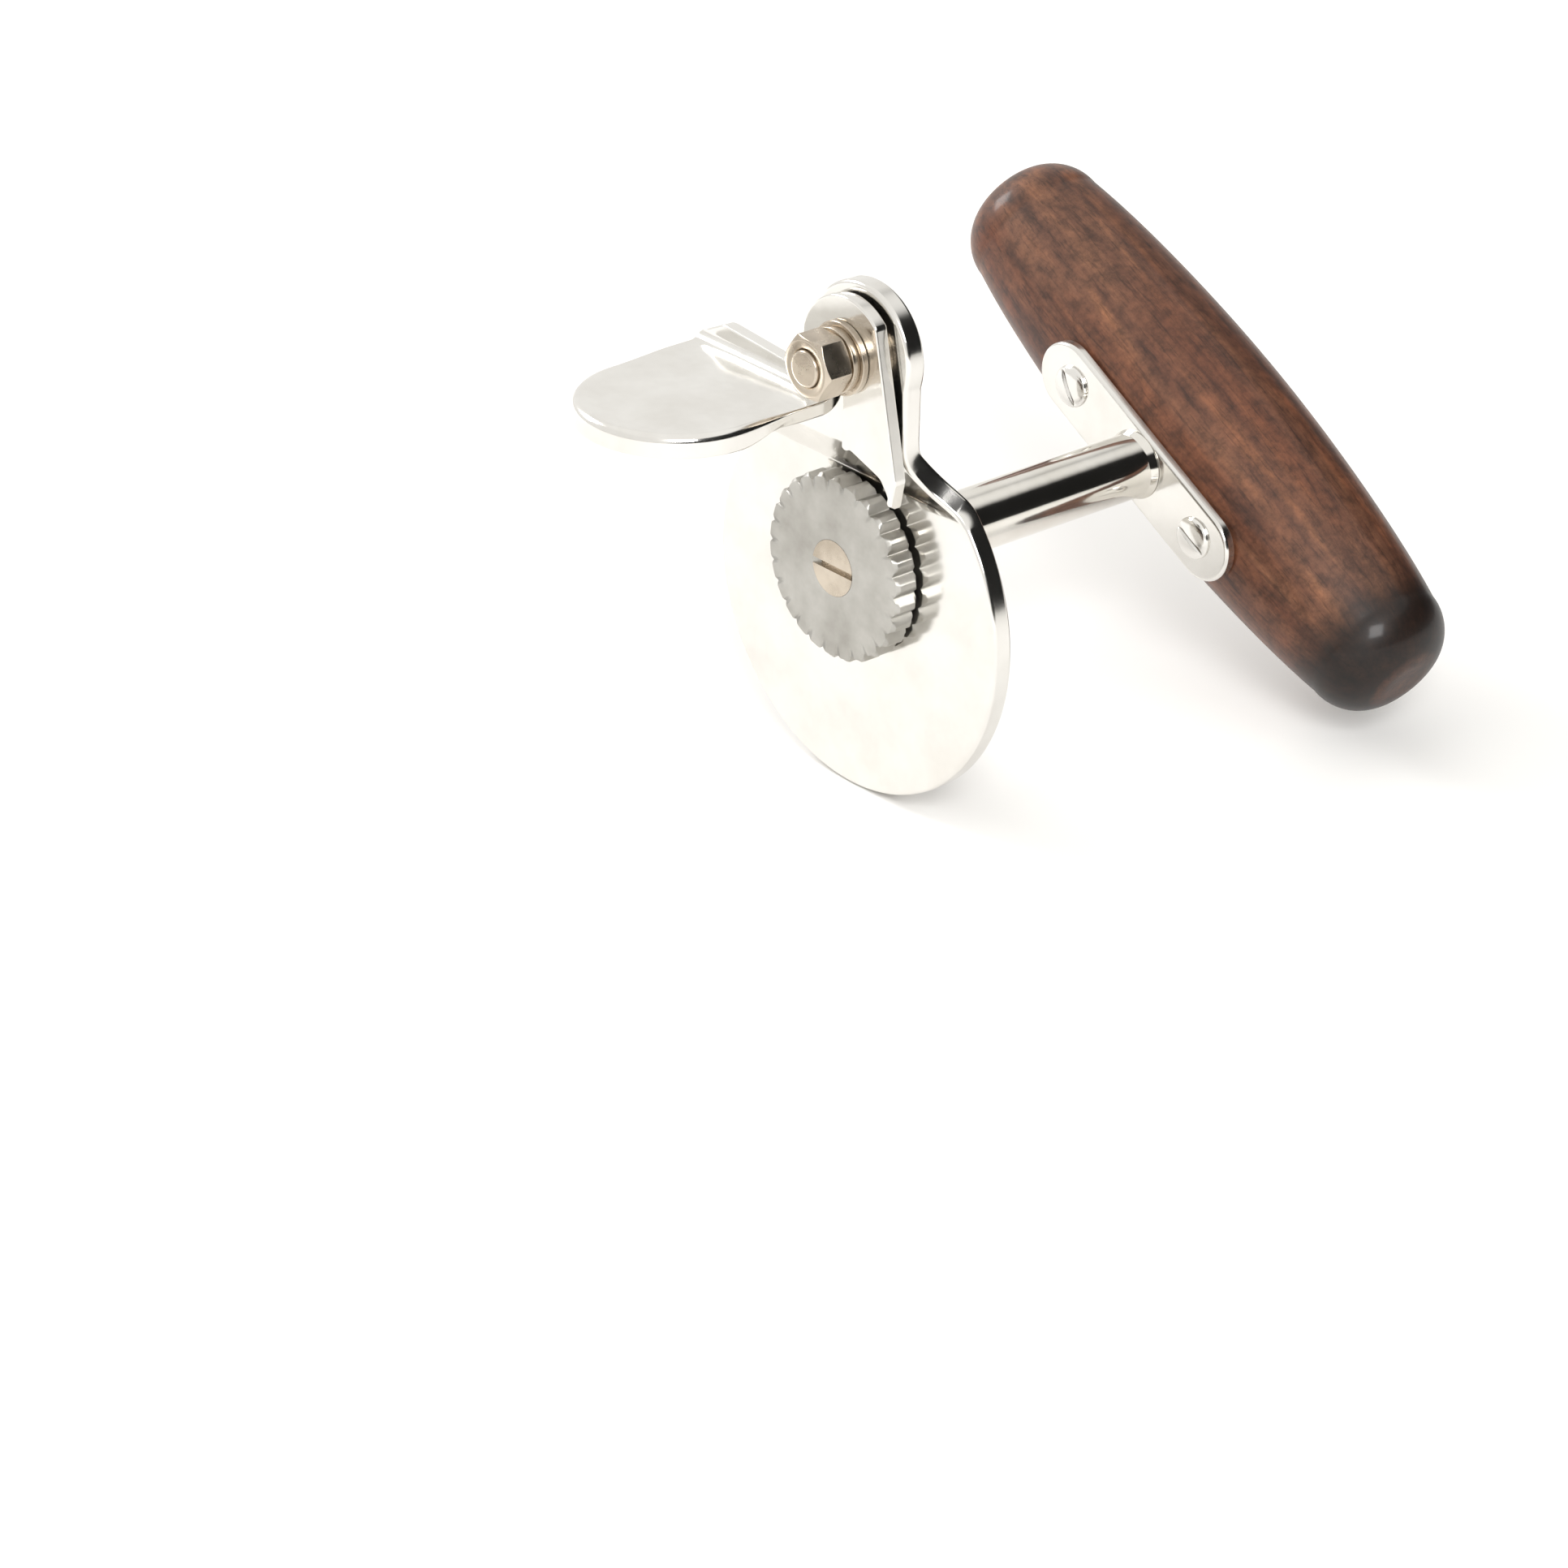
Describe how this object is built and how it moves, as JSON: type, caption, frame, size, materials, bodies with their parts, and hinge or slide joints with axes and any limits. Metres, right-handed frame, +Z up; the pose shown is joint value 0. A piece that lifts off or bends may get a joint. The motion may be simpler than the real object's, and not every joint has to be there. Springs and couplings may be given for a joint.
{
  "type": "manual can opener",
  "caption": "Hand-cranked can opener: round guard plate, toothed feed wheel, swinging cutter lever with thumb tongue, and a turned wooden cross handle on a shaft.",
  "frame": {"origin": "centre of the feed wheel, on the shaft's axis", "axes": "+Y along the drive shaft from the can towards the handle, +Z up from the wheel to the cutter's pivot side, +X to the right seen from the can"},
  "size_m": [0.0864, 0.1148, 0.0749],
  "materials": {
    "plated_steel": "polished nickel plating on steel",
    "plated_hardware": "bright plated fastener",
    "hardened_steel": "hardened and tumbled steel",
    "varnished_wood": "turned hardwood, mid brown, satin varnish"
  },
  "bodies": {
    "frame": {"frame_plate": "plated_steel", "shaft_bush": "plated_steel", "pivot_bolt": "plated_hardware", "pivot_nut": "plated_hardware", "spring_washer": "plated_hardware", "flat_washer": "plated_hardware", "pivot_spacer": "plated_hardware"},
    "crank": {"drive_shaft": "plated_steel", "feed_wheel": "hardened_steel", "wheel_washer": "plated_hardware", "wheel_screw": "plated_hardware", "thrust_washer": "plated_hardware", "handle_bracket": "plated_steel", "bracket_screws": "plated_hardware", "wooden_handle": "varnished_wood"},
    "lever": {"cutter_lever": "plated_steel"}
  },
  "joints": [
    {"name": "crank_turn", "type": "hinge", "parent": "frame", "child": "crank", "pos_m": [0, 0, 0], "axis": [0, 1, 0], "continuous": true},
    {"name": "lever_swing", "type": "hinge", "parent": "frame", "child": "lever", "pos_m": [0.0048, -0.0042, 0.0325], "axis": [0, 1, 0], "range_deg": [0, 110]}
  ]
}
